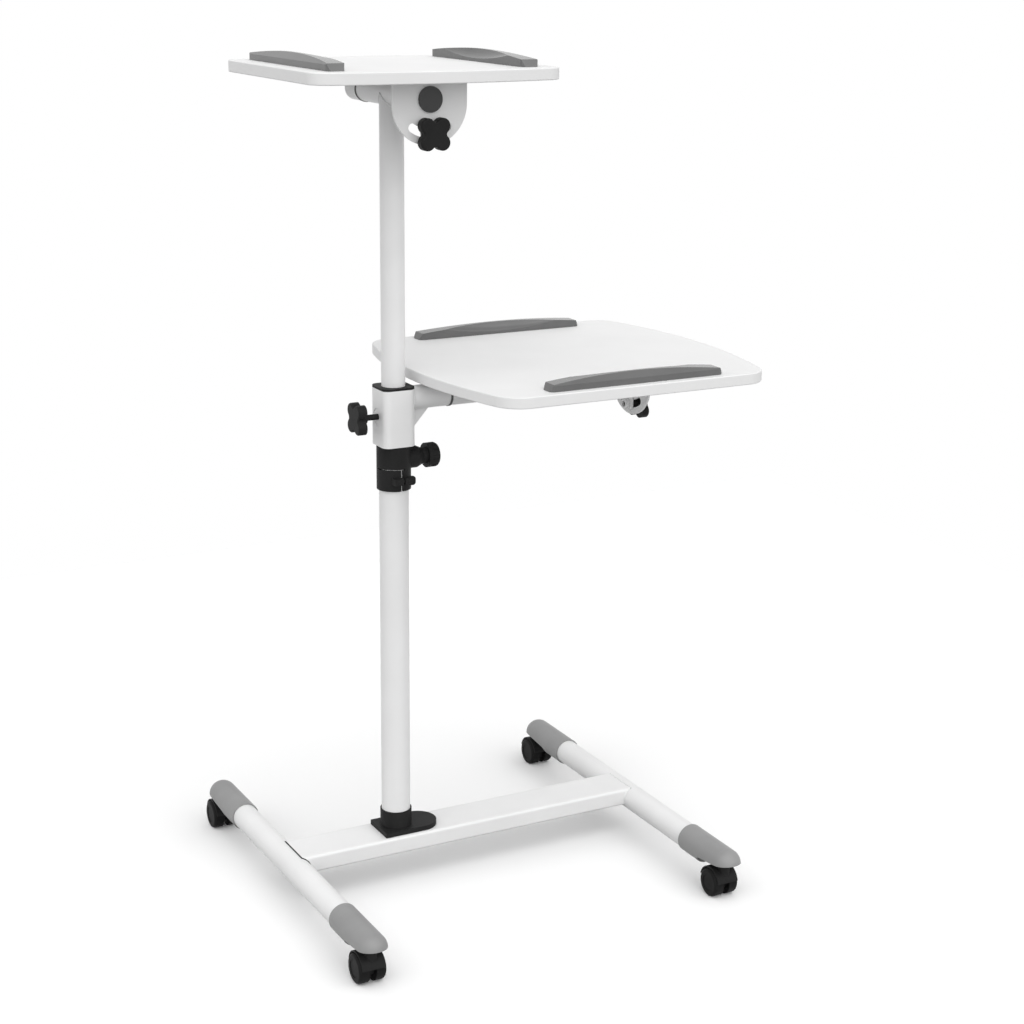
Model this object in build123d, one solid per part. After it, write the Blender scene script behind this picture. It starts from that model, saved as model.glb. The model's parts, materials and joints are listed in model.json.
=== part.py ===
"""Portable projector stand: a rolling base, a telescopic column and two tilting shelves.

Millimetres. X runs along the crossbar, Y along the side tubes, Z up. The origin lies on the floor
under the middle of the whole stand.
"""
import os
from math import sqrt

from build123d import *

os.makedirs("parts", exist_ok=True)

# Fits
RUN = 0.05
GAP = 0.3
OVERCUT = 2.0

# Rolling base
TRACK = 536.0
SIDE_R = 18.0
SIDE_WALL = 1.5
SIDE_Z = 53.0
SIDE_SHIFT = 7.0
BAR_DEPTH = 65.0
BAR_HEIGHT = 25.0
BAR_WALL = 1.5
BAR_CORNER = 4.0
SADDLE = 1.2
SADDLE_START = 5.0
PLUG_LIP = 12.0

# End caps
CAP_R = 20.0
CAP_WALL = 2.5
CAP_TIP = 288.0
CAP_LENGTH = 112.0
NOTCH = 70.0
NOTCH_DROP = 7.0
NOTCH_RISE = 3.0
NOTCH_ROUND = 10.0
TUBE_SETBACK = 4.0
BOSS_R = 8.0
BOSS_DROP = 3.0

# Casters
WHEEL_R = 20.0
WHEEL_WIDTH = 14.5
WHEEL_EDGE = 4.0
WHEEL_DISH = 0.8
CASTER_WIDTH = 38.0
AXLE_R = 3.0
STEM_R = 5.0
STEM_SETBACK = 25.0
STEM_RISE = 12.0
TRAIL = 11.0
HOOD_GAP = 1.2
HOOD_WALL = 2.0
HOOD_WIDTH = 32.0
HOOD_FOOT = 25.0

# Column
COLUMN_OFFSET = 106.5
LOWER_R = 20.0
UPPER_R = 16.0
TUBE_WALL = 1.5
UPPER_INSERTION = 250.0
FOOT_LEFT = 27.0
FOOT_RIGHT = 60.0
FOOT_PLATE = 7.0
FOOT_FLOOR = 3.0
FOOT_COLLAR_R = 22.0
FOOT_COLLAR = 32.0

# Height clamp and its knob
CLAMP_R = 23.2
CLAMP_BOTTOM = 568.0
CLAMP_HEIGHT = 59.5
CLAMP_RING = 30.0
CLAMP_SPLIT = 2.6
CLAMP_SLIT = 1.5
SPLIT_OFFSET = 1.5
CLAMP_KNOB_LIFT = 40.0
CLAMP_BOSS_R = 15.0
CLAMP_BOSS = 32.0
CLAMP_BOSS_END = 39.6
CLAMP_BOLT_Y = 27.5
BOLT_R = 2.5
BOLT_HUB_R = 4.5
BOLT_HUB = 7.0
EAR_HEIGHT = 9.0
EAR_LEFT = 14.0
EAR_RIGHT = 5.0
WING = 3.0
WING_LENGTH = 12.0
WING_HEIGHT = 12.2
WING_ROUND = 4.0
KNOB_R = 16.7
KNOB_START = 46.6
KNOB_LENGTH = 17.0
KNOB_ROUND = 5.0
KNOB_NECK_R = 11.5
FLUTE_R = 4.5
SCREW_R = 4.0
SCREW_LAND = 3.0

# Arms and tilt plates
ARM_R = 16.0
ARM_BORE = 14.0
AXIS_DROP = 22.0
PIN_R = 12.0
PIN_WALL = 2.5
RING_R = 16.8
RING_WIDTH = 3.0
SPIGOT = 15.0
TOP_ARM_FRONT = 109.0
TOP_ARM_BACK = 75.0
TOP_BARREL_END = 111.0
LOWER_STUB_END = 78.0
LOWER_ARM_END = 368.0
BARREL_LAND = 15.0
RIB_HALF = 6.0
STRIP_HALF = 24.0
PLATE = 3.0
PLATE_HALF = 51.0
PLATE_CENTRE = 5.5
SLOT_R = 41.5
SLOT_WIDTH = 11.0
SLOT_ANGLE = 35.0
FLANGE = 25.0
LUG = 4.0
LUG_HALF = 10.0
NUT_R = 7.2
NUT = 6.0
GUSSET = 26.0
GUSSET_WIDTH = 6.0
GUSSET_STEP = 3.0

# Four-lobed knobs
LOBE_SPAN = 48.5
LOBE_WIDTH = 19.5
LOBE_HEIGHT = 12.0
LOBE_EDGE = 2.5
HUB_R = 7.5
HUB = 6.0

# Carriage
SLEEVE = 47.0
SLEEVE_CORNER = 10.0
SLEEVE_WALL = 2.0
SLEEVE_LIFT = 0.8
SLEEVE_HEIGHT = 77.0
INSERT_FLANGE = 3.0
CARRIAGE_KNOB_LIFT = 39.7
CARRIAGE_KNOB_FACE = 46.5
CARRIAGE_ARM_LIFT = 61.3
DIMPLE_R = 12.0
DIMPLE = 0.8

# Shelves
BOARD = 15.0
BOARD_EDGE = 1.5
TOP_BOARD_Z = 1125.6
TOP_DEPTH = 332.0
TOP_WIDTH = 339.0
TOP_BOW = 12.5
TOP_CORNER = 27.0
LOWER_LENGTH = 455.5
LOWER_DEPTH = 431.0
LOWER_BOW = 24.8
LOWER_CORNER = 39.0
LOWER_EDGE_GAP = 5.0

# Stops on the shelves
STOP_LENGTH = 262.0
STOP_WIDTH = 24.0
STOP_CORNER = 9.0
STOP_DRAFT = 5.0
STOP_END = 9.3
STOP_MID = 16.0
STOP_WALL = 8.0
STOP_RIDGE = 9.0
SCOOP_HALF = 110.0
SCOOP_OUT = 6.0
SCOOP_UP = 4.0
SCOOP_LIP = 4.3
TOP_STOP_INSET = 26.5
LOWER_STOP_INSET = 12.0

# Positions that follow from the sizes
BAR_TOP = SIDE_Z + SIDE_R
BAR_Z = BAR_TOP - BAR_HEIGHT / 2
CAP_RIM = CAP_TIP - CAP_LENGTH
NOTCH_START = CAP_TIP - NOTCH
SIDE_END = NOTCH_START - TUBE_SETBACK
STEM_Y = CAP_TIP - STEM_SETBACK
STEM_TOP = SIDE_Z + STEM_RISE
BOSS_FOOT = SIDE_Z - BOSS_DROP
HOOD_R = WHEEL_R + HOOD_GAP + HOOD_WALL
HOOD_BACK = sqrt(HOOD_R**2 - (HOOD_FOOT - WHEEL_R)**2)
FOOT_TOP = BAR_TOP + FOOT_COLLAR
LOWER_FOOT = BAR_TOP + FOOT_FLOOR
CLAMP_TOP = CLAMP_BOTTOM + CLAMP_HEIGHT
SPLIT_TOP = CLAMP_BOTTOM + CLAMP_RING
CLAMP_BOLT_Z = CLAMP_BOTTOM + CLAMP_RING / 2
CLAMP_KNOB_Z = CLAMP_BOTTOM + CLAMP_KNOB_LIFT
LOWER_TOP = CLAMP_KNOB_Z - SCREW_R - SCREW_LAND
UPPER_FOOT = LOWER_TOP - UPPER_INSERTION
SLEEVE_FOOT = CLAMP_TOP + SLEEVE_LIFT
CARRIAGE_KNOB_Z = SLEEVE_FOOT + CARRIAGE_KNOB_LIFT
LOWER_AXIS = SLEEVE_FOOT + CARRIAGE_ARM_LIFT
LOWER_UNDER = LOWER_AXIS + AXIS_DROP
LOWER_BOARD_Z = LOWER_UNDER + BOARD
TOP_UNDER = TOP_BOARD_Z - BOARD
TOP_AXIS = TOP_UNDER - AXIS_DROP
LOWER_START = SLEEVE / 2 + LOWER_EDGE_GAP
LEFT_REACH = TRACK / 2 + CAP_R
RIGHT_REACH = max(LEFT_REACH, LOWER_START + LOWER_LENGTH - COLUMN_OFFSET)
BASE_X = (LEFT_REACH - RIGHT_REACH) / 2
LEFT_X = BASE_X - TRACK / 2
RIGHT_X = BASE_X + TRACK / 2
COLUMN_X = BASE_X - COLUMN_OFFSET
FRONT_REACH = CAP_TIP + SIDE_SHIFT
BACK_REACH = max(CAP_TIP, STEM_Y + TRAIL + HOOD_BACK) - SIDE_SHIFT
COLUMN_Y = (FRONT_REACH - BACK_REACH) / 2
LOWER_CENTRE_X = COLUMN_X + LOWER_START + LOWER_LENGTH / 2
TOP_FACE = Plane(origin=(COLUMN_X, -TOP_ARM_FRONT, TOP_AXIS), x_dir=(1, 0, 0), z_dir=(0, -1, 0))
LOWER_FACE = Plane(origin=(COLUMN_X + LOWER_ARM_END, 0, LOWER_AXIS), x_dir=(0, 1, 0), z_dir=(1, 0, 0))


def save(name, shape):
    """Writes a solid that was drawn with the column on the X axis."""
    export_step(Pos(0, COLUMN_Y, 0) * shape, f"parts/{name}.step")


def rod(start, direction, radius, length):
    """A cylinder from a point along a direction."""
    base = Cylinder(radius, length, align=(Align.CENTER, Align.CENTER, Align.MIN))
    return Plane(origin=start, z_dir=direction).location * base


def block(x0, x1, y0, y1, z0, z1):
    """A box between two corners."""
    return Pos((x0 + x1) / 2, (y0 + y1) / 2, (z0 + z1) / 2) * Box(x1 - x0, y1 - y0, z1 - z0)


def end_cap():
    """Moulded cap of a side tube, pointing along +Y, with a notched hollow nose for the caster."""
    straight = CAP_TIP - CAP_R
    outer = rod((0, CAP_RIM, SIDE_Z), (0, 1, 0), CAP_R, straight - CAP_RIM)
    outer += Pos(0, straight, SIDE_Z) * Sphere(CAP_R)
    inner_r = CAP_R - CAP_WALL
    bore_end = SIDE_END + GAP
    wall_end = bore_end + CAP_WALL
    hollow = rod((0, wall_end, SIDE_Z), (0, 1, 0), inner_r, straight - wall_end)
    hollow += Pos(0, straight, SIDE_Z) * Sphere(inner_r)
    bore = rod((0, CAP_RIM - OVERCUT, SIDE_Z), (0, 1, 0), SIDE_R + RUN, bore_end - CAP_RIM + OVERCUT)
    far = CAP_TIP + CAP_WALL * 2
    low = SIDE_Z - NOTCH_DROP
    corners = [(NOTCH_START, 0), (NOTCH_START, low), (far, SIDE_Z + NOTCH_RISE), (far, 0)]
    notch = make_face(Polyline(corners, close=True))
    knee = notch.vertices().sort_by_distance((NOTCH_START, low, 0))[0]
    notch = fillet(knee, NOTCH_ROUND)
    side = Plane(origin=(0, 0, 0), x_dir=(0, 1, 0), z_dir=(1, 0, 0))
    shell = outer - hollow - bore - extrude(side * notch, CAP_R * 2, both=True)
    boss = rod((0, STEM_Y, BOSS_FOOT), (0, 0, 1), BOSS_R, SIDE_Z + CAP_R - BOSS_FOOT) & outer
    depth = STEM_TOP + GAP - BOSS_FOOT
    socket = rod((0, STEM_Y, BOSS_FOOT - OVERCUT), (0, 0, 1), STEM_R + RUN, depth + OVERCUT)
    return shell + boss - socket


def caster_body():
    """Hood, rib and stem of a twin-wheel caster whose stem stands at the origin."""
    half = HOOD_WIDTH / 2
    rib = CASTER_WIDTH / 2 - WHEEL_WIDTH - GAP
    neck_foot = WHEEL_R + HOOD_R / 2
    hood = rod((-half, TRAIL, WHEEL_R), (1, 0, 0), HOOD_R, HOOD_WIDTH)
    hood &= block(-half, half, TRAIL - HOOD_R, TRAIL + HOOD_R, HOOD_FOOT, WHEEL_R + HOOD_R)
    hood += rod((0, 0, neck_foot), (0, 0, 1), BOSS_R, BOSS_FOOT - GAP - neck_foot)
    for side in (-1, 1):
        start = (side * rib, TRAIL, WHEEL_R)
        hood -= rod(start, (side, 0, 0), WHEEL_R + HOOD_GAP, CASTER_WIDTH)
    hood += rod((-rib, TRAIL, WHEEL_R), (1, 0, 0), WHEEL_R * 0.6, rib * 2)
    hood += rod((0, 0, BOSS_FOOT - OVERCUT), (0, 0, 1), STEM_R, STEM_TOP - BOSS_FOOT + OVERCUT)
    return hood - rod((-rib - OVERCUT, TRAIL, WHEEL_R), (1, 0, 0), AXLE_R + RUN, (rib + OVERCUT) * 2)


def caster_wheels():
    """A pair of wheels on their axle."""
    half = CASTER_WIDTH / 2
    axle = CASTER_WIDTH - WHEEL_EDGE * 2
    pair = rod((-axle / 2, TRAIL, WHEEL_R), (1, 0, 0), AXLE_R, axle)
    for side in (-1, 1):
        wheel = rod((side * (half - WHEEL_WIDTH), TRAIL, WHEEL_R), (side, 0, 0), WHEEL_R, WHEEL_WIDTH)
        rims = wheel.edges().filter_by(GeomType.CIRCLE).sort_by(Axis.X)
        wheel = fillet(rims[0] if side < 0 else rims[-1], WHEEL_EDGE)
        dish = rod((side * (half - WHEEL_DISH), TRAIL, WHEEL_R), (side, 0, 0), WHEEL_R * 0.6, OVERCUT)
        pair += wheel - dish
    return pair


def lobed_knob(hub_at, tip, lobes_at):
    """A four-lobed hand knob on its screw, along +Z from the screw's tip."""
    cross = Sketch() + Rot(0, 0, 45) * SlotOverall(LOBE_SPAN, LOBE_WIDTH)
    cross += Rot(0, 0, -45) * SlotOverall(LOBE_SPAN, LOBE_WIDTH)
    inner = cross.vertices().filter_by(lambda v: Vector(v).length < LOBE_WIDTH * 0.75)
    cross = fillet(inner, (LOBE_SPAN - LOBE_WIDTH * 2) * 0.4)
    knob = Pos(0, 0, lobes_at) * extrude(cross, LOBE_HEIGHT)
    knob = fillet(knob.faces().sort_by(Axis.Z)[-1].edges(), LOBE_EDGE)
    knob += rod((0, 0, hub_at), (0, 0, 1), HUB_R, lobes_at - hub_at)
    return knob + rod((0, 0, tip), (0, 0, 1), SCREW_R, hub_at - tip)


def tilt_plate():
    """Half-round plate in its own plane, pivot at the origin, with a flange under the board."""
    top = AXIS_DROP
    face = Pos(0, (top - PLATE_CENTRE) / 2) * Rectangle(PLATE_HALF * 2, top + PLATE_CENTRE)
    face += Pos(0, -PLATE_CENTRE) * Circle(PLATE_HALF)
    face -= Pos(0, top + PLATE_HALF) * Rectangle(PLATE_HALF * 2, PLATE_HALF * 2)
    face -= Circle(PIN_R + RUN)
    path = CenterArc((0, 0), SLOT_R, -90 - SLOT_ANGLE, SLOT_ANGLE * 2)
    face -= SlotArc(path, SLOT_WIDTH)
    plate = Pos(0, 0, GAP) * extrude(face, PLATE)
    return plate + block(-PLATE_HALF, PLATE_HALF, top - PLATE, top, GAP + PLATE - FLANGE, GAP + PLATE)


def tilt_lug(reach):
    """Fixed lug with a welded nut behind a tilt plate, pivot at the origin."""
    face = Pos(0, -(reach + SLOT_R) / 2) * Rectangle(LUG_HALF * 2, SLOT_R - reach)
    face += Pos(0, -SLOT_R) * Circle(LUG_HALF)
    nut = Pos(0, -SLOT_R) * RegularPolygon(NUT_R, 6)
    lug = Pos(0, 0, -LUG) * extrude(face, LUG) + Pos(0, 0, -LUG - NUT) * extrude(nut, NUT)
    return lug - rod((0, -SLOT_R, -LUG - NUT - OVERCUT), (0, 0, 1), SCREW_R + RUN, LUG + NUT + OVERCUT * 2)


def arm_plug(bore):
    """Black plug that closes an arm and carries the tilt plate on its neck."""
    seat = PLATE + GAP * 2
    plug = rod((0, 0, seat), (0, 0, 1), ARM_R, RING_WIDTH)
    plug += rod((0, 0, 0), (0, 0, 1), PIN_R, seat)
    return plug + rod((0, 0, -SPIGOT), (0, 0, 1), bore - RUN, SPIGOT)


def tilt_knob():
    """Lobed knob whose screw passes the curved slot into the lug."""
    seat = PLATE + GAP * 2
    knob = lobed_knob(seat, -LUG - NUT / 2, seat + HUB)
    return knob + rod((0, 0, GAP), (0, 0, 1), SLOT_WIDTH / 2 - GAP, seat - GAP)


def board(length, width, bow, corner):
    """Shelf board with straight sides along X and bowed ends, top face at Z 0."""
    a = length / 2 - corner
    b = width / 2 - corner
    right = ThreePointArc((a - bow, -b), (a, 0), (a - bow, b))
    left = ThreePointArc((bow - a, b), (-a, 0), (bow - a, -b))
    top = Line((a - bow, b), (bow - a, b))
    bottom = Line((bow - a, -b), (a - bow, -b))
    outline = offset(make_face([bottom, right, top, left]), corner)
    slab = Pos(0, 0, -BOARD) * extrude(outline, BOARD)
    rims = slab.faces().sort_by(Axis.Z)[0].edges() + slab.faces().sort_by(Axis.Z)[-1].edges()
    return fillet(rims, BOARD_EDGE)


def stop():
    """Shelf stop along X: crowned ridge, sloping shoulder on the -Y side, hollow scoop on the +Y side."""
    foot = STOP_LENGTH / 2
    end = foot - STOP_DRAFT
    crown = ThreePointArc((end, STOP_END), (0, STOP_MID), (-end, STOP_END))
    rest = Polyline((-end, STOP_END), (-foot, 0), (foot, 0), (end, STOP_END))
    side = Plane(origin=(0, 0, 0), x_dir=(1, 0, 0), z_dir=(0, -1, 0))
    bar = extrude(side * make_face([rest, crown]), STOP_WIDTH, both=True)
    bar &= extrude(RectangleRounded(STOP_LENGTH + OVERCUT, STOP_WIDTH, STOP_CORNER), STOP_MID * 2)

    rise = STOP_MID - STOP_WALL
    outer = -STOP_WIDTH / 2
    low = (outer - STOP_RIDGE, STOP_WALL - rise)
    high = (outer + STOP_RIDGE * 2, STOP_WALL + rise * 2)
    shoulder = make_face(Polyline(low, high, (low[0], high[1]), close=True))
    across = Plane(origin=(0, 0, 0), x_dir=(0, 1, 0), z_dir=(1, 0, 0))
    bar -= extrude(across * shoulder, STOP_LENGTH, both=True)

    axis_y = STOP_WIDTH / 2 + SCOOP_OUT
    axis_z = STOP_MID + SCOOP_UP
    deep = sqrt(SCOOP_OUT**2 + (axis_z - SCOOP_LIP)**2)
    barrel = ThreePointArc((-SCOOP_HALF, SCOOP_OUT), (0, deep), (SCOOP_HALF, SCOOP_OUT))
    core = Polyline((SCOOP_HALF, SCOOP_OUT), (SCOOP_HALF, 0), (-SCOOP_HALF, 0), (-SCOOP_HALF, SCOOP_OUT))
    upright = Plane(origin=(0, axis_y, axis_z), x_dir=(1, 0, 0), z_dir=(0, -1, 0))
    return bar - revolve(upright * make_face([barrel, core]), Axis((0, axis_y, axis_z), (1, 0, 0)))


# Side tubes, and the crossbar whose coped ends sit on black saddle plugs
for name, x in (("side_tube_left", LEFT_X), ("side_tube_right", RIGHT_X)):
    tube = rod((x, -SIDE_END, SIDE_Z), (0, 1, 0), SIDE_R, SIDE_END * 2)
    tube -= rod((x, -SIDE_END - OVERCUT, SIDE_Z), (0, 1, 0), SIDE_R - SIDE_WALL, (SIDE_END + OVERCUT) * 2)
    save(name, Pos(0, -SIDE_SHIFT, 0) * tube)

bar_half = TRACK / 2 - SADDLE_START
bar_plane = Plane(origin=(BASE_X, 0, BAR_Z), x_dir=(0, 1, 0), z_dir=(1, 0, 0))
bar_face = RectangleRounded(BAR_DEPTH, BAR_HEIGHT, BAR_CORNER)
bar_inner = RectangleRounded(BAR_DEPTH - BAR_WALL * 2, BAR_HEIGHT - BAR_WALL * 2, BAR_CORNER - BAR_WALL)
bar_solid = extrude(bar_plane * bar_face, bar_half, both=True)
crossbar = bar_solid - extrude(bar_plane * bar_inner, TRACK, both=True)
lip_reach = SIDE_R + SADDLE + PLUG_LIP
for name, x, side in (("crossbar_plug_left", LEFT_X, 1), ("crossbar_plug_right", RIGHT_X, -1)):
    tube_space = rod((x, -BAR_DEPTH, SIDE_Z), (0, 1, 0), SIDE_R, BAR_DEPTH * 2)
    cope = rod((x, -BAR_DEPTH, SIDE_Z), (0, 1, 0), SIDE_R + SADDLE, BAR_DEPTH * 2)
    crossbar -= cope
    end = Plane(origin=(x, 0, BAR_Z), x_dir=(0, 1, 0), z_dir=(side, 0, 0))
    lip = extrude(end * offset(bar_inner, -RUN), lip_reach)
    save(name, (bar_solid & cope) + lip - tube_space)
save("crossbar", crossbar)

# End caps and casters
cap = end_cap()
body = caster_body()
wheels = caster_wheels()
for corner, x, side in (
    ("front_left", LEFT_X, -1),
    ("front_right", RIGHT_X, -1),
    ("back_left", LEFT_X, 1),
    ("back_right", RIGHT_X, 1),
):
    save(f"end_cap_{corner}", Pos(x, -SIDE_SHIFT, 0) * Rot(0, 0, 90 - side * 90) * cap)
    stem = Pos(x, side * STEM_Y - SIDE_SHIFT, 0)
    save(f"caster_body_{corner}", stem * body)
    save(f"caster_wheels_{corner}", stem * wheels)

# Column foot and lower tube
foot_plan = Pos((FOOT_RIGHT - FOOT_LEFT * 2) / 2, 0) * Rectangle(FOOT_RIGHT, FOOT_LEFT * 2)
foot_plan += Pos(FOOT_RIGHT - FOOT_LEFT, 0) * Circle(FOOT_LEFT)
foot = Pos(COLUMN_X, 0, BAR_TOP) * extrude(foot_plan, FOOT_PLATE)
foot += rod((COLUMN_X, 0, BAR_TOP), (0, 0, 1), FOOT_COLLAR_R, FOOT_COLLAR)
foot -= rod((COLUMN_X, 0, LOWER_FOOT), (0, 0, 1), LOWER_R + RUN, FOOT_TOP)
save("column_foot", foot)

lower = rod((COLUMN_X, 0, LOWER_FOOT), (0, 0, 1), LOWER_R, LOWER_TOP - LOWER_FOOT)
lower -= rod((COLUMN_X, 0, LOWER_FOOT - OVERCUT), (0, 0, 1), LOWER_R - TUBE_WALL, LOWER_TOP)
save("lower_tube", lower)

# Height clamp with its split ring, ears and boss
knob_plane = Plane(origin=(COLUMN_X, 0, CLAMP_KNOB_Z), z_dir=(1, 0, 0))
split_x = COLUMN_X + SPLIT_OFFSET
clamp = rod((COLUMN_X, 0, CLAMP_BOTTOM), (0, 0, 1), CLAMP_R, CLAMP_HEIGHT)
clamp += rod((COLUMN_X, 0, CLAMP_KNOB_Z), (1, 0, 0), CLAMP_BOSS_R, CLAMP_BOSS)
standing = (Align.CENTER, Align.CENTER, Align.MIN)
taper = Cone(CLAMP_BOSS_R, KNOB_NECK_R, CLAMP_BOSS_END - CLAMP_BOSS, align=standing)
clamp += knob_plane.location * Pos(0, 0, CLAMP_BOSS) * taper
ear_front = -CLAMP_BOLT_Y - EAR_HEIGHT / 2
ear_foot = CLAMP_BOLT_Z - EAR_HEIGHT / 2
clamp += block(split_x - EAR_LEFT, split_x + EAR_RIGHT, ear_front, 0, ear_foot, ear_foot + EAR_HEIGHT)
seat_start = CLAMP_BOTTOM - OVERCUT
clamp -= rod((COLUMN_X, 0, seat_start), (0, 0, 1), LOWER_R + RUN, LOWER_TOP + GAP - seat_start)
clamp -= rod((COLUMN_X, 0, CLAMP_BOTTOM), (0, 0, 1), UPPER_R + RUN, CLAMP_HEIGHT + OVERCUT)
half_split = CLAMP_SPLIT / 2
front = ear_front - OVERCUT
clamp -= block(split_x - half_split, split_x + half_split, front, 0, CLAMP_BOTTOM - OVERCUT, SPLIT_TOP)
clamp -= block(COLUMN_X - CLAMP_R * 2, split_x + EAR_RIGHT, front, 0, SPLIT_TOP - CLAMP_SLIT, SPLIT_TOP)
clamp -= rod((COLUMN_X, 0, CLAMP_KNOB_Z), (1, 0, 0), SCREW_R + RUN, CLAMP_BOSS_END + OVERCUT)
bolt_start = (split_x - EAR_LEFT, -CLAMP_BOLT_Y, CLAMP_BOLT_Z)
clamp -= rod(bolt_start, (1, 0, 0), BOLT_R + RUN, EAR_LEFT + EAR_RIGHT + OVERCUT)
save("height_clamp", clamp)

head_start = (split_x + EAR_RIGHT, -CLAMP_BOLT_Y, CLAMP_BOLT_Z)
wing_bolt = rod(bolt_start, (1, 0, 0), BOLT_R, EAR_LEFT + EAR_RIGHT)
wing_bolt += rod(head_start, (1, 0, 0), BOLT_HUB_R, BOLT_HUB)
wing_plane = Plane(origin=head_start, x_dir=(1, 0, 0), z_dir=(0, -1, 0))
wing_face = Pos(GAP + WING_LENGTH / 2, 0) * RectangleRounded(WING_LENGTH, WING_HEIGHT, WING_ROUND)
wing_bolt += extrude(wing_plane * wing_face, WING / 2, both=True)
save("clamp_wing_bolt", wing_bolt)

grip = rod((0, 0, KNOB_START), (0, 0, 1), KNOB_R, KNOB_LENGTH)
grip = fillet(grip.edges().filter_by(GeomType.CIRCLE).sort_by(Axis.Z)[-1], KNOB_ROUND)
for spot in PolarLocations(KNOB_R + FLUTE_R / 2, 8):
    grip -= spot * rod((0, 0, KNOB_START + KNOB_ROUND), (0, 0, 1), FLUTE_R, KNOB_LENGTH)
grip += rod((0, 0, CLAMP_BOSS_END + GAP), (0, 0, 1), KNOB_NECK_R, KNOB_START - CLAMP_BOSS_END - GAP)
grip += rod((0, 0, UPPER_R + GAP), (0, 0, 1), SCREW_R, CLAMP_BOSS_END - UPPER_R)
save("height_knob", knob_plane.location * grip)

# Upper column with the fixed arm across its end
upper = rod((COLUMN_X, 0, UPPER_FOOT), (0, 0, 1), UPPER_R, TOP_AXIS - UPPER_FOOT)
upper -= rod((COLUMN_X, 0, UPPER_FOOT - OVERCUT), (0, 0, 1), UPPER_R - TUBE_WALL, TOP_AXIS)
upper -= rod((COLUMN_X, -UPPER_R * 2, TOP_AXIS), (0, 1, 0), ARM_R, UPPER_R * 4)
save("upper_tube", upper)

top_arm_length = TOP_ARM_FRONT + TOP_ARM_BACK
top_arm = rod((COLUMN_X, -TOP_ARM_FRONT, TOP_AXIS), (0, 1, 0), ARM_R, top_arm_length)
top_arm += TOP_FACE.location * tilt_lug(ARM_BORE)
top_arm -= rod((COLUMN_X, -TOP_ARM_FRONT * 2, TOP_AXIS), (0, 1, 0), ARM_BORE, top_arm_length * 2)
save("top_arm", top_arm)
save("top_arm_plug", TOP_FACE.location * arm_plug(ARM_BORE))
save("top_tilt_knob", TOP_FACE.location * Pos(0, -SLOT_R, 0) * tilt_knob())

ring_start = TOP_ARM_BACK + RUN
ring = rod((COLUMN_X, ring_start, TOP_AXIS), (0, 1, 0), RING_R, RING_WIDTH)
ring += rod((COLUMN_X, ring_start - SPIGOT, TOP_AXIS), (0, 1, 0), ARM_BORE - RUN, SPIGOT)
ring += rod((COLUMN_X, ring_start, TOP_AXIS), (0, 1, 0), PIN_R, TOP_BARREL_END - ring_start)
save("top_arm_ring", ring)

# Top shelf
barrel_start = ring_start + RING_WIDTH + GAP
barrel = rod((COLUMN_X, barrel_start, TOP_AXIS), (0, 1, 0), ARM_R, TOP_BARREL_END - barrel_start)
barrel += block(COLUMN_X - RIB_HALF, COLUMN_X + RIB_HALF, barrel_start, TOP_BARREL_END, TOP_AXIS, TOP_UNDER)
strip = (COLUMN_X - STRIP_HALF, COLUMN_X + STRIP_HALF, barrel_start, TOP_BARREL_END)
barrel += block(*strip, TOP_UNDER - PLATE, TOP_UNDER)
barrel -= rod((COLUMN_X, 0, TOP_AXIS), (0, 1, 0), PIN_R + RUN, TOP_BARREL_END + OVERCUT)
save("top_hinge_barrel", barrel)
save("top_tilt_plate", TOP_FACE.location * tilt_plate())
top_board = board(TOP_DEPTH, TOP_WIDTH, TOP_BOW, TOP_CORNER)
save("top_board", Pos(COLUMN_X, 0, TOP_BOARD_Z) * Rot(0, 0, 90) * top_board)
rail = stop()
top_stop_at = TOP_WIDTH / 2 - TOP_STOP_INSET - STOP_WIDTH / 2
save("top_stop_left", Pos(COLUMN_X - top_stop_at, 0, TOP_BOARD_Z) * Rot(0, 0, -90) * rail)
save("top_stop_right", Pos(COLUMN_X + top_stop_at, 0, TOP_BOARD_Z) * Rot(0, 0, 90) * rail)

# Carriage on the upper column
column_axis = Pos(COLUMN_X, 0, SLEEVE_FOOT)
sleeve_face = RectangleRounded(SLEEVE, SLEEVE, SLEEVE_CORNER)
sleeve_space = SLEEVE - SLEEVE_WALL * 2
sleeve_inner = RectangleRounded(sleeve_space, sleeve_space, SLEEVE_CORNER - SLEEVE_WALL)
sleeve = column_axis * extrude(sleeve_face - sleeve_inner, SLEEVE_HEIGHT)
screw_hole = rod((COLUMN_X, 0, CARRIAGE_KNOB_Z), (-1, 0, 0), SCREW_R + RUN, SLEEVE)
dimple = rod((COLUMN_X - SLEEVE / 2 + DIMPLE, 0, CARRIAGE_KNOB_Z), (-1, 0, 0), DIMPLE_R, OVERCUT)
save("carriage_sleeve", sleeve - screw_hole - dimple)
insert = column_axis * extrude(offset(sleeve_inner, -RUN), SLEEVE_HEIGHT)
insert += Pos(0, 0, SLEEVE_HEIGHT) * column_axis * extrude(sleeve_face, INSERT_FLANGE)
insert -= rod((COLUMN_X, 0, SLEEVE_FOOT - OVERCUT), (0, 0, 1), UPPER_R + RUN, SLEEVE_HEIGHT * 2)
save("carriage_insert", insert - screw_hole)

left_face = Plane(origin=(COLUMN_X, 0, CARRIAGE_KNOB_Z), x_dir=(0, -1, 0), z_dir=(-1, 0, 0))
carriage_knob = lobed_knob(CARRIAGE_KNOB_FACE - HUB, UPPER_R + GAP, CARRIAGE_KNOB_FACE)
save("carriage_knob", left_face.location * carriage_knob)

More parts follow.
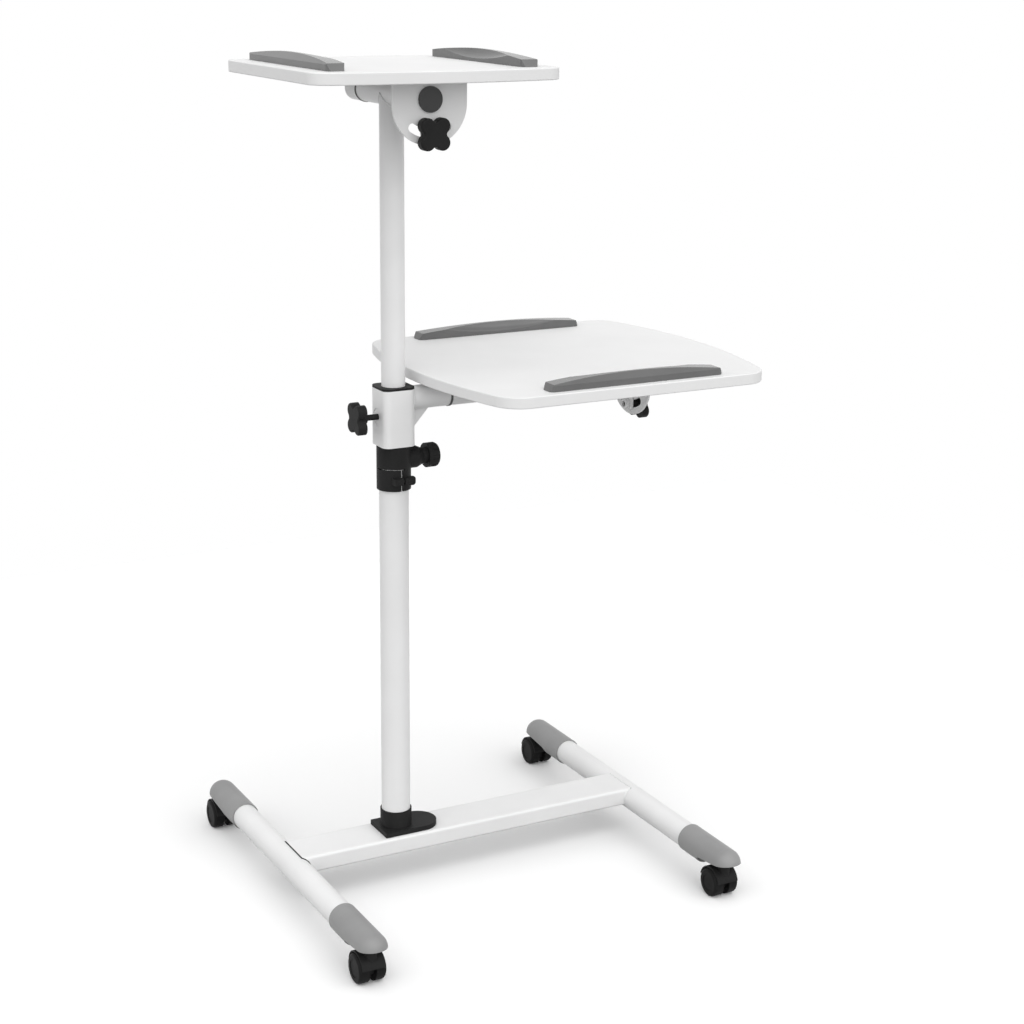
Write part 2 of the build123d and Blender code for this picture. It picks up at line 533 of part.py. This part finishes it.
# Fixed arm of the carriage
sleeve_side = COLUMN_X + SLEEVE / 2
stub_end = COLUMN_X + LOWER_STUB_END
stub = rod((sleeve_side, 0, LOWER_AXIS), (1, 0, 0), ARM_R, stub_end - sleeve_side)
gusset_plane = Plane(origin=(sleeve_side, 0, LOWER_AXIS - ARM_R), x_dir=(1, 0, 0), z_dir=(0, -1, 0))
gusset_top = [(0, GUSSET_STEP), (GUSSET, GUSSET_STEP), (GUSSET, 0)]
gusset_face = make_face(Polyline(*gusset_top, (GUSSET_STEP, -GUSSET), (0, -GUSSET), close=True))
stub += extrude(gusset_plane * gusset_face, GUSSET_WIDTH / 2, both=True)
stub -= rod((sleeve_side - OVERCUT, 0, LOWER_AXIS), (1, 0, 0), PIN_R + RUN, LOWER_STUB_END)
save("lower_arm_stub", stub)

arm_start = sleeve_side + GAP
arm_bore = PIN_R - PIN_WALL
arm_rod = rod((arm_start, 0, LOWER_AXIS), (1, 0, 0), PIN_R, COLUMN_X + LOWER_ARM_END - arm_start)
arm_rod += LOWER_FACE.location * tilt_lug(arm_bore)
arm_rod -= rod((sleeve_side, 0, LOWER_AXIS), (1, 0, 0), arm_bore, LOWER_ARM_END)
save("lower_arm_rod", arm_rod)
save("lower_arm_plug", LOWER_FACE.location * arm_plug(arm_bore))
save("lower_tilt_knob", LOWER_FACE.location * Pos(0, -SLOT_R, 0) * tilt_knob())

lower_ring = rod((stub_end + RUN, 0, LOWER_AXIS), (1, 0, 0), RING_R, RING_WIDTH)
lower_ring -= rod((stub_end, 0, LOWER_AXIS), (1, 0, 0), PIN_R + RUN, RING_WIDTH * 2)
save("lower_arm_ring", lower_ring)

# Lower shelf
tube_start = stub_end + RUN + RING_WIDTH + GAP
tube_end = COLUMN_X + LOWER_ARM_END - LUG - GAP
tube_length = tube_end - tube_start
lower_barrel = rod((tube_start, 0, LOWER_AXIS), (1, 0, 0), ARM_R, tube_length)
strip_end = tube_end - FLANGE
lower_barrel += block(tube_start, strip_end, -RIB_HALF, RIB_HALF, LOWER_AXIS, LOWER_UNDER)
lower_barrel += block(tube_start, strip_end, -STRIP_HALF, STRIP_HALF, LOWER_UNDER - PLATE, LOWER_UNDER)
bore_start = tube_start - OVERCUT
lower_barrel -= rod((bore_start, 0, LOWER_AXIS), (1, 0, 0), PIN_R + RUN, tube_length + OVERCUT * 2)
relief_start = tube_start + BARREL_LAND
lower_barrel -= rod((relief_start, 0, LOWER_AXIS), (1, 0, 0), ARM_BORE, tube_length - BARREL_LAND * 2)
save("lower_hinge_barrel", lower_barrel)
save("lower_tilt_plate", LOWER_FACE.location * tilt_plate())
lower_board = board(LOWER_LENGTH, LOWER_DEPTH, LOWER_BOW, LOWER_CORNER)
save("lower_board", Pos(LOWER_CENTRE_X, 0, LOWER_BOARD_Z) * lower_board)
lower_stop_at = LOWER_DEPTH / 2 - LOWER_STOP_INSET - STOP_WIDTH / 2
save("lower_stop_front", Pos(LOWER_CENTRE_X, -lower_stop_at, LOWER_BOARD_Z) * rail)
save("lower_stop_back", Pos(LOWER_CENTRE_X, lower_stop_at, LOWER_BOARD_Z) * Rot(0, 0, 180) * rail)
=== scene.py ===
import json
import math

import bmesh
import bpy
from mathutils import Matrix, Vector


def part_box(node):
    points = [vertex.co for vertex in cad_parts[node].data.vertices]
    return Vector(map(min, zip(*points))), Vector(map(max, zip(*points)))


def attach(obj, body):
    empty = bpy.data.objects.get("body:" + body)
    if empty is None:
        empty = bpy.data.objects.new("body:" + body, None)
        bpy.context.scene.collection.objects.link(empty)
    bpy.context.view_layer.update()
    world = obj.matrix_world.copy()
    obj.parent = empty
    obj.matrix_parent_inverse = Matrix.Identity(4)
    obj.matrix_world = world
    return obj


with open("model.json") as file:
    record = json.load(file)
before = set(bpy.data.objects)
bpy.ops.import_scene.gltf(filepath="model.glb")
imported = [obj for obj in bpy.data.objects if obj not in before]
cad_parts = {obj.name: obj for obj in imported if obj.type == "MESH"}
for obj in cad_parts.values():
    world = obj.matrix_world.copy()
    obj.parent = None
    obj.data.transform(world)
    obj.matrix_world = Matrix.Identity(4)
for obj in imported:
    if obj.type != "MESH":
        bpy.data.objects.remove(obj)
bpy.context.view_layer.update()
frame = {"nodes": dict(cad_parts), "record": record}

# Lengths are in millimetres, and Blender takes metres
MM = 0.001


def corners(node):
    """Lowest and highest corner of a CAD node."""
    low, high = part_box(node)
    return low / MM, high / MM


# Places in the row frame, read from the CAD
BAR_LOW, BAR_HIGH = corners("crossbar")
BAR_MID = (BAR_LOW + BAR_HIGH) / 2
BAR_SIZE = BAR_HIGH - BAR_LOW
SIDE_LOW, SIDE_HIGH = corners("side_tube_right")
SIDE_MID = (SIDE_LOW + SIDE_HIGH) / 2
SIDE_R = (SIDE_HIGH.z - SIDE_LOW.z) / 2
COLUMN_LOW, COLUMN_HIGH = corners("lower_tube")
COLUMN_X, COLUMN_Y = ((COLUMN_LOW + COLUMN_HIGH) / 2).xy
STUB_LOW, STUB_HIGH = corners("lower_arm_stub")
ARM_R = (STUB_HIGH.y - STUB_LOW.y) / 2
LOWER_AXIS = STUB_HIGH.z - ARM_R
LOWER_ARM_END = corners("lower_arm_rod")[1].x
LOWER_UNDER = corners("lower_board")[0].z
SLEEVE_SIDE = corners("carriage_sleeve")[1].x
TOP_ARM_LOW, TOP_ARM_HIGH = corners("top_arm")
TOP_AXIS = TOP_ARM_HIGH.z - ARM_R
TOP_BARREL_END = corners("top_hinge_barrel")[1].y
TOP_UNDER = corners("top_board")[0].z

# Weld beads, with two waves along them that are shares of the radius and radians per step
BEAD_SIDES = 10
RIPPLE = 0.14
RIPPLE_TURN = 1.7
SWELL = 0.06
SWELL_TURN = 0.45

# Welds of the arms
WELD_R = 1.5
WELD_LIFT = 0.3
TOP_WELD_STEPS = 120
LOWER_WELD_STEPS = 90

# Welds of the gusset, from the corner between the sleeve and the arm
GUSSET_HALF = 3.0
GUSSET_WELD_R = 1.2
GUSSET_WELD_LIFT = 0.2
GUSSET_WELD_SINK = 0.1
GUSSET_WELD_START = 2.0
GUSSET_WELD_DOWN = 25.0
GUSSET_WELD_OUT = 24.0

# Weld of the crossbar
BAR_CORNER = 4.0
BAR_CORNER_STEPS = 12
SEAM_WELD_R = 1.0
SEAM_LIFT = 0.85
SEAM_STEP = 1.2

# Screw heads, with a profile of heights and radii that are shares of the head's radius
DOWN = Vector((0, 0, -1))
HEAD_SIDES = 24
HEAD_PROFILE = ((0.0, 1.0), (0.25, 1.0), (0.45, 0.8), (0.55, 0.45))

# Screws of the column foot, from the column's axis
FOOT_SCREW_R = 6.0
FOOT_SCREW_X = (-17.0, 36.0)
FOOT_SCREW_Y = 15.0

# Screws of the boards: set back from the end of an arm or a barrel, the rest from the column's axis
BOARD_SCREW_R = 4.0
PLATE = 3.0
FLANGE_SETBACK = 11.0
FLANGE_SCREW = 40.0
STRIP_SETBACK = 16.0
TOP_STRIP_SCREW = 19.0
LOWER_STRIP_SCREW = 20.0
LOWER_STRIP_X = (110.0, 210.0, 310.0)

# What all materials share
CLOUD_DETAIL = 6.0
GRAIN_DETAIL = 3.0
TONE_START = 0.3
TONE_END = 0.7
GLOSS_SPREAD = 0.06
GRAIN_DEPTH = 0.2

# Floor and sky: brightness as a light and as seen, and the heights between which the sky brightens
FLOOR_HALF = 1600.0
FLOOR_BOUNCE = 0.34
FLOOR_SEEN = 0.98
SKY_LOW = 0.34
SKY_HIGH = 0.62
SKY_START = -0.05
SKY_END = 0.25
WHITE = (1, 1, 1, 1)

# Camera, fitted to the photograph: left of the crossbar's middle, in front of the column, above the floor
YAW = math.radians(28.33)
PITCH = math.radians(15.84)
ROLL = math.radians(0.58)
EYE_LEFT = 1206.4
EYE_FRONT = 2375.3
EYE_HEIGHT = 1276.9
LENS_PIXELS = 2014.6
PICTURE_PIXELS = 1024.0
SENSOR = 36.0
FARTHEST = 200000.0


# Materials

def noise(tree, scale, detail):
    """Noise in the object's own space, with a scale in spots per metre."""
    where = tree.nodes.new("ShaderNodeTexCoord")
    cloud = tree.nodes.new("ShaderNodeTexNoise")
    cloud.inputs["Scale"].default_value = scale
    cloud.inputs["Detail"].default_value = detail
    tree.links.new(where.outputs["Object"], cloud.inputs["Vector"])
    return cloud.outputs["Fac"]


def grained(name, dark, light, rough, grain, bump, mottle, sheen=0.5, metal=0.0):
    """A cloudy tone, an uneven gloss and a fine grain. Grain and mottle are in spots per metre."""
    mat = bpy.data.materials.new(name)
    mat.use_nodes = True
    tree = mat.node_tree
    shader = tree.nodes["Principled BSDF"]
    shader.inputs["Specular IOR Level"].default_value = sheen
    shader.inputs["Metallic"].default_value = metal

    tone = tree.nodes.new("ShaderNodeValToRGB")
    first, last = tone.color_ramp.elements
    first.position = TONE_START
    first.color = (dark, dark, dark, 1)
    last.position = TONE_END
    last.color = (light, light, light, 1)
    tree.links.new(noise(tree, mottle, CLOUD_DETAIL), tone.inputs["Fac"])
    tree.links.new(tone.outputs["Color"], shader.inputs["Base Color"])

    fine = noise(tree, grain, GRAIN_DETAIL)
    gloss = tree.nodes.new("ShaderNodeMapRange")
    gloss.inputs["To Min"].default_value = rough - GLOSS_SPREAD
    gloss.inputs["To Max"].default_value = rough + GLOSS_SPREAD
    tree.links.new(fine, gloss.inputs["Value"])
    tree.links.new(gloss.outputs["Result"], shader.inputs["Roughness"])
    relief = tree.nodes.new("ShaderNodeBump")
    relief.inputs["Strength"].default_value = bump
    relief.inputs["Distance"].default_value = GRAIN_DEPTH * MM
    tree.links.new(fine, relief.inputs["Height"])
    tree.links.new(relief.outputs["Normal"], shader.inputs["Normal"])
    return mat


LOOKS = {
    "white_metal": grained(
        "white powder coat", dark=0.765, light=0.800, rough=0.36, grain=900, bump=0.12, mottle=14),
    "white_board": grained(
        "white melamine", dark=0.775, light=0.805, rough=0.50, grain=1400, bump=0.10, mottle=9, sheen=0.3),
    "grey_plastic": grained(
        "grey moulding", dark=0.245, light=0.275, rough=0.48, grain=1600, bump=0.22, mottle=22),
    "black_plastic": grained(
        "black moulding", dark=0.014, light=0.020, rough=0.50, grain=1500, bump=0.25, mottle=30, sheen=0.08),
    "black_tread": grained(
        "black wheel", dark=0.010, light=0.015, rough=0.46, grain=1100, bump=0.15, mottle=40, sheen=0.06),
}
STOP_GREY = grained(
    "dark grey moulding", dark=0.106, light=0.122, rough=0.18, grain=1600, bump=0.14, mottle=22)
RING_GREY = grained(
    "rubber ring", dark=0.045, light=0.062, rough=0.52, grain=1300, bump=0.2, mottle=40)
PLUG_BLACK = grained(
    "black end plug", dark=0.010, light=0.016, rough=0.38, grain=1500, bump=0.2, mottle=30)
ZINC = grained(
    "zinc screw", dark=0.52, light=0.60, rough=0.32, grain=2200, bump=0.12, mottle=60, metal=1.0)
OXIDE = grained(
    "black bolt", dark=0.020, light=0.034, rough=0.36, grain=2000, bump=0.15, mottle=50, metal=0.6)

slot_of = {part["node"]: part["material_slot"] for part in frame["record"]["subparts"]}


def look_of(node):
    """Look of a CAD node: that of its slot, apart from the stops, the rings and the arm plugs."""
    if "_stop_" in node:
        return STOP_GREY
    if node.endswith("_ring"):
        return RING_GREY
    if node.endswith("_arm_plug"):
        return PLUG_BLACK
    return LOOKS[slot_of[node]]


for node, obj in frame["nodes"].items():
    obj.data.materials.clear()
    obj.data.materials.append(look_of(node))


# Forms of the small pieces

def add(name, mesh, body, slot, look=None):
    """Puts a finished bmesh into the scene as a piece that rides on a body."""
    data = bpy.data.meshes.new(name)
    mesh.to_mesh(data)
    mesh.free()
    data.materials.append(look or LOOKS[slot])
    obj = bpy.data.objects.new(name, data)
    bpy.context.scene.collection.objects.link(obj)
    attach(obj, body)


def full_turn(count):
    """Evenly spaced angles of one full turn."""
    return [2 * math.pi * k / count for k in range(count)]


def ring(mesh, middle, axis, radius, sides):
    """A ring of mesh corners round a point, square to an axis."""
    turn = axis.normalized().to_track_quat("Z", "Y").to_matrix()
    made = []
    for a in full_turn(sides):
        spot = middle + turn @ Vector((math.cos(a), math.sin(a), 0)) * radius
        made.append(mesh.verts.new(spot * MM))
    return made


def skin(mesh, rings, closed):
    """Smooth walls between rings that follow each other, and flat ends where they don't close."""
    sides = len(rings[0])
    pairs = list(zip(rings, rings[1:]))
    if closed:
        pairs.append((rings[-1], rings[0]))
    for low, high in pairs:
        # The next ring can start at another angle, so its nearest corner is found first
        shift = min(range(sides), key=lambda n: (high[n].co - low[0].co).length)
        for k in range(sides):
            n = (k + 1) % sides
            wall = mesh.faces.new((low[k], low[n], high[(n + shift) % sides], high[(k + shift) % sides]))
            wall.smooth = True
    if not closed:
        mesh.faces.new(list(reversed(rings[0])))
        mesh.faces.new(rings[-1])


def bead(mesh, points, radius, closed):
    """A slightly uneven weld bead along a line of points."""
    count = len(points)
    rings = []
    for k, point in enumerate(points):
        before = points[k - 1] if closed or k else point
        after = points[(k + 1) % count] if closed or k < count - 1 else point
        uneven = 1 + RIPPLE * math.sin(k * RIPPLE_TURN) + SWELL * math.sin(k * SWELL_TURN)
        rings.append(ring(mesh, point, after - before, radius * uneven, BEAD_SIDES))
    skin(mesh, rings, closed)


def screw_heads(name, spots, radius, body, slot, look):
    """Low domed screw heads that point down from several spots."""
    mesh = bmesh.new()
    for spot in spots:
        rings = []
        for height, share in HEAD_PROFILE:
            middle = Vector(spot) + DOWN * height * radius
            rings.append(ring(mesh, middle, DOWN, share * radius, HEAD_SIDES))
        skin(mesh, rings, False)
    add(name, mesh, body, slot, look)


def each_millimetre(start, end):
    """Places a millimetre apart, from start to end."""
    return [start + k for k in range(round(end - start) + 1)]


# Small pieces

def top_arm_weld():
    """Weld of the top arm on the upper tube, which are equally thick."""
    reach = ARM_R + WELD_LIFT
    saddle = []
    for a in full_turn(TOP_WELD_STEPS):
        x = reach * math.sin(a)
        y = reach * math.cos(a)
        saddle.append(Vector((COLUMN_X + x, COLUMN_Y + y, TOP_AXIS - abs(y) - WELD_LIFT)))
    weld = bmesh.new()
    bead(weld, saddle, WELD_R, True)
    add("top_arm_weld", weld, "upper_column", "white_metal")


def lower_arm_welds():
    """Welds of the lower arm and its gusset on the sleeve."""
    reach = ARM_R + WELD_LIFT
    around = []
    for a in full_turn(LOWER_WELD_STEPS):
        y = reach * math.cos(a)
        z = reach * math.sin(a)
        around.append(Vector((SLEEVE_SIDE, COLUMN_Y + y, LOWER_AXIS + z)))
    weld = bmesh.new()
    bead(weld, around, WELD_R, True)
    arm_foot = LOWER_AXIS - ARM_R
    heights = each_millimetre(arm_foot - GUSSET_WELD_DOWN, arm_foot - GUSSET_WELD_START)
    reaches = each_millimetre(SLEEVE_SIDE + GUSSET_WELD_START, SLEEVE_SIDE + GUSSET_WELD_OUT)
    for side in (-1, 1):
        y = COLUMN_Y + side * (GUSSET_HALF + WELD_LIFT)
        up = [Vector((SLEEVE_SIDE + GUSSET_WELD_LIFT, y, z)) for z in heights]
        along = [Vector((x, y, arm_foot + GUSSET_WELD_SINK)) for x in reaches]
        bead(weld, up, GUSSET_WELD_R, False)
        bead(weld, along, GUSSET_WELD_R, False)
    add("lower_arm_welds", weld, "carriage", "white_metal")


def bar_outline():
    """Outline of the crossbar's section: four round corners, without the points between them."""
    outline = []
    for quarter, (side, level) in enumerate(((1, 1), (-1, 1), (-1, -1), (1, -1))):
        corner_y = BAR_MID.y + side * (BAR_SIZE.y / 2 - BAR_CORNER)
        corner_z = BAR_MID.z + level * (BAR_SIZE.z / 2 - BAR_CORNER)
        for k in range(BAR_CORNER_STEPS + 1):
            a = math.pi / 2 * (quarter + k / BAR_CORNER_STEPS)
            y = corner_y + BAR_CORNER * math.cos(a)
            z = corner_z + BAR_CORNER * math.sin(a)
            outline.append(Vector((0, y, z)))
    return outline


def crossbar_weld():
    """Weld round the right end of the crossbar, in the seam against the side tube."""
    outline = bar_outline()
    seam_r = SIDE_R + SEAM_LIFT
    seam = []
    for here, there in zip(outline, outline[1:] + outline[:1]):
        steps = max(1, round((there - here).length / SEAM_STEP))
        for k in range(steps):
            spot = here.lerp(there, k / steps)
            spot.x = SIDE_MID.x - math.sqrt(seam_r ** 2 - (spot.z - SIDE_MID.z) ** 2)
            seam.append(spot)
    weld = bmesh.new()
    bead(weld, seam, SEAM_WELD_R, True)
    add("crossbar_weld_right", weld, "base", "white_metal")


def foot_screws():
    """Screws of the column foot, under the crossbar."""
    spots = []
    for dx in FOOT_SCREW_X:
        for dy in (-FOOT_SCREW_Y, FOOT_SCREW_Y):
            spots.append((COLUMN_X + dx, COLUMN_Y + dy, BAR_LOW.z))
    screw_heads("foot_screws", spots, FOOT_SCREW_R, "base", "black_plastic", OXIDE)


def top_board_screws():
    """Screws that hold the tilt plate and the hinge barrel to the top board."""
    z = TOP_UNDER - PLATE
    flange_y = TOP_ARM_LOW.y + FLANGE_SETBACK
    strip_y = TOP_BARREL_END - STRIP_SETBACK
    spots = [(COLUMN_X + side * FLANGE_SCREW, flange_y, z) for side in (-1, 1)]
    spots += [(COLUMN_X + side * TOP_STRIP_SCREW, strip_y, z) for side in (-1, 1)]
    screw_heads("top_board_screws", spots, BOARD_SCREW_R, "top_shelf", "white_metal", ZINC)


def lower_board_screws():
    """Screws that hold the tilt plate and the hinge barrel to the lower board."""
    z = LOWER_UNDER - PLATE
    flange_x = LOWER_ARM_END - FLANGE_SETBACK
    spots = [(flange_x, COLUMN_Y + side * FLANGE_SCREW, z) for side in (-1, 1)]
    for x in LOWER_STRIP_X:
        spots += [(COLUMN_X + x, COLUMN_Y + side * LOWER_STRIP_SCREW, z) for side in (-1, 1)]
    screw_heads("lower_board_screws", spots, BOARD_SCREW_R, "lower_shelf", "white_metal", ZINC)


top_arm_weld()
lower_arm_welds()
crossbar_weld()
foot_screws()
top_board_screws()
lower_board_screws()


# Stage: floor, light and camera

def seen_white(tree):
    """A factor of 1 for the rays that show the backdrop itself, straight or in a gloss."""
    path = tree.nodes.new("ShaderNodeLightPath")
    white = path.outputs["Is Camera Ray"]
    for kind in ("Is Glossy Ray", "Is Transmission Ray"):
        either = tree.nodes.new("ShaderNodeMath")
        either.operation = "MAXIMUM"
        tree.links.new(white, either.inputs[0])
        tree.links.new(path.outputs[kind], either.inputs[1])
        white = either.outputs["Value"]
    return white


def finish_tree(tree, output, lights, seen):
    """Links two shaders to an output: one that lights the stand and one that is seen."""
    mix = tree.nodes.new("ShaderNodeMixShader")
    out = tree.nodes.new(output)
    tree.links.new(seen_white(tree), mix.inputs["Fac"])
    tree.links.new(lights, mix.inputs[1])
    tree.links.new(seen, mix.inputs[2])
    tree.links.new(mix.outputs["Shader"], out.inputs["Surface"])


def matt(tree, grey):
    """A matt grey surface."""
    shader = tree.nodes.new("ShaderNodeBsdfDiffuse")
    shader.inputs["Color"].default_value = (grey, grey, grey, 1)
    return shader.outputs["BSDF"]


def lay_floor():
    """A pale floor that throws less light back at the stand than it shows."""
    look = bpy.data.materials.new("pale floor")
    look.use_nodes = True
    tree = look.node_tree
    tree.nodes.clear()
    finish_tree(tree, "ShaderNodeOutputMaterial", matt(tree, FLOOR_BOUNCE), matt(tree, FLOOR_SEEN))
    half = FLOOR_HALF * MM
    mesh = bpy.data.meshes.new("floor")
    mesh.from_pydata(
        [(-half, -half, 0), (half, -half, 0), (half, half, 0), (-half, half, 0)], [], [(0, 1, 2, 3)])
    mesh.materials.append(look)
    floor = bpy.data.objects.new("floor", mesh)
    bpy.context.scene.collection.objects.link(floor)


def hang_sky():
    """A white backdrop to look at, and a sky that lights the stand less from low down."""
    world = bpy.data.worlds.new("studio")
    bpy.context.scene.world = world
    world.use_nodes = True
    tree = world.node_tree
    tree.nodes.clear()
    sky = tree.nodes.new("ShaderNodeBackground")
    sky.inputs["Color"].default_value = WHITE
    paper = tree.nodes.new("ShaderNodeBackground")
    paper.inputs["Color"].default_value = WHITE
    where = tree.nodes.new("ShaderNodeTexCoord")
    split = tree.nodes.new("ShaderNodeSeparateXYZ")
    level = tree.nodes.new("ShaderNodeMapRange")
    level.inputs["From Min"].default_value = SKY_START
    level.inputs["From Max"].default_value = SKY_END
    level.inputs["To Min"].default_value = SKY_LOW
    level.inputs["To Max"].default_value = SKY_HIGH
    tree.links.new(where.outputs["Generated"], split.inputs["Vector"])
    tree.links.new(split.outputs["Z"], level.inputs["Value"])
    tree.links.new(level.outputs["Result"], sky.inputs["Strength"])
    finish_tree(tree, "ShaderNodeOutputWorld", sky.outputs["Background"], paper.outputs["Background"])


def sun(name, towards, strength, angle):
    """A broad soft light that shines along a direction, with its angle in degrees."""
    data = bpy.data.lights.new(name, "SUN")
    data.energy = strength
    data.angle = math.radians(angle)
    obj = bpy.data.objects.new(name, data)
    obj.rotation_euler = Vector(towards).to_track_quat("-Z", "Y").to_euler()
    bpy.context.scene.collection.objects.link(obj)


def set_camera():
    """The camera at the photograph's viewing angle."""
    ahead = Vector((
        math.cos(PITCH) * math.sin(YAW),
        math.cos(PITCH) * math.cos(YAW),
        -math.sin(PITCH),
    ))
    right = Vector((math.cos(YAW), -math.sin(YAW), 0))
    down = ahead.cross(right)
    across = math.cos(ROLL) * right - math.sin(ROLL) * down
    up = -(math.sin(ROLL) * right + math.cos(ROLL) * down)
    turn = Matrix((across, up, -ahead)).transposed()
    eye = Vector((BAR_MID.x - EYE_LEFT, COLUMN_Y - EYE_FRONT, EYE_HEIGHT)) * MM
    data = bpy.data.cameras.new("camera")
    data.sensor_width = SENSOR
    data.lens = SENSOR * LENS_PIXELS / PICTURE_PIXELS
    data.clip_end = FARTHEST * MM
    camera = bpy.data.objects.new("camera", data)
    camera.matrix_world = Matrix.Translation(eye) @ turn.to_4x4()
    bpy.context.scene.collection.objects.link(camera)
    bpy.context.scene.camera = camera


lay_floor()
hang_sky()
sun("overhead", towards=(0.0, 0.1, -1.0), strength=0.1, angle=70)
sun("front", towards=(0.1, 0.73, -0.68), strength=2.0, angle=90)
sun("left", towards=(0.80, -0.15, -0.40), strength=0.45, angle=60)
set_camera()
bpy.context.scene.view_settings.view_transform = "Standard"
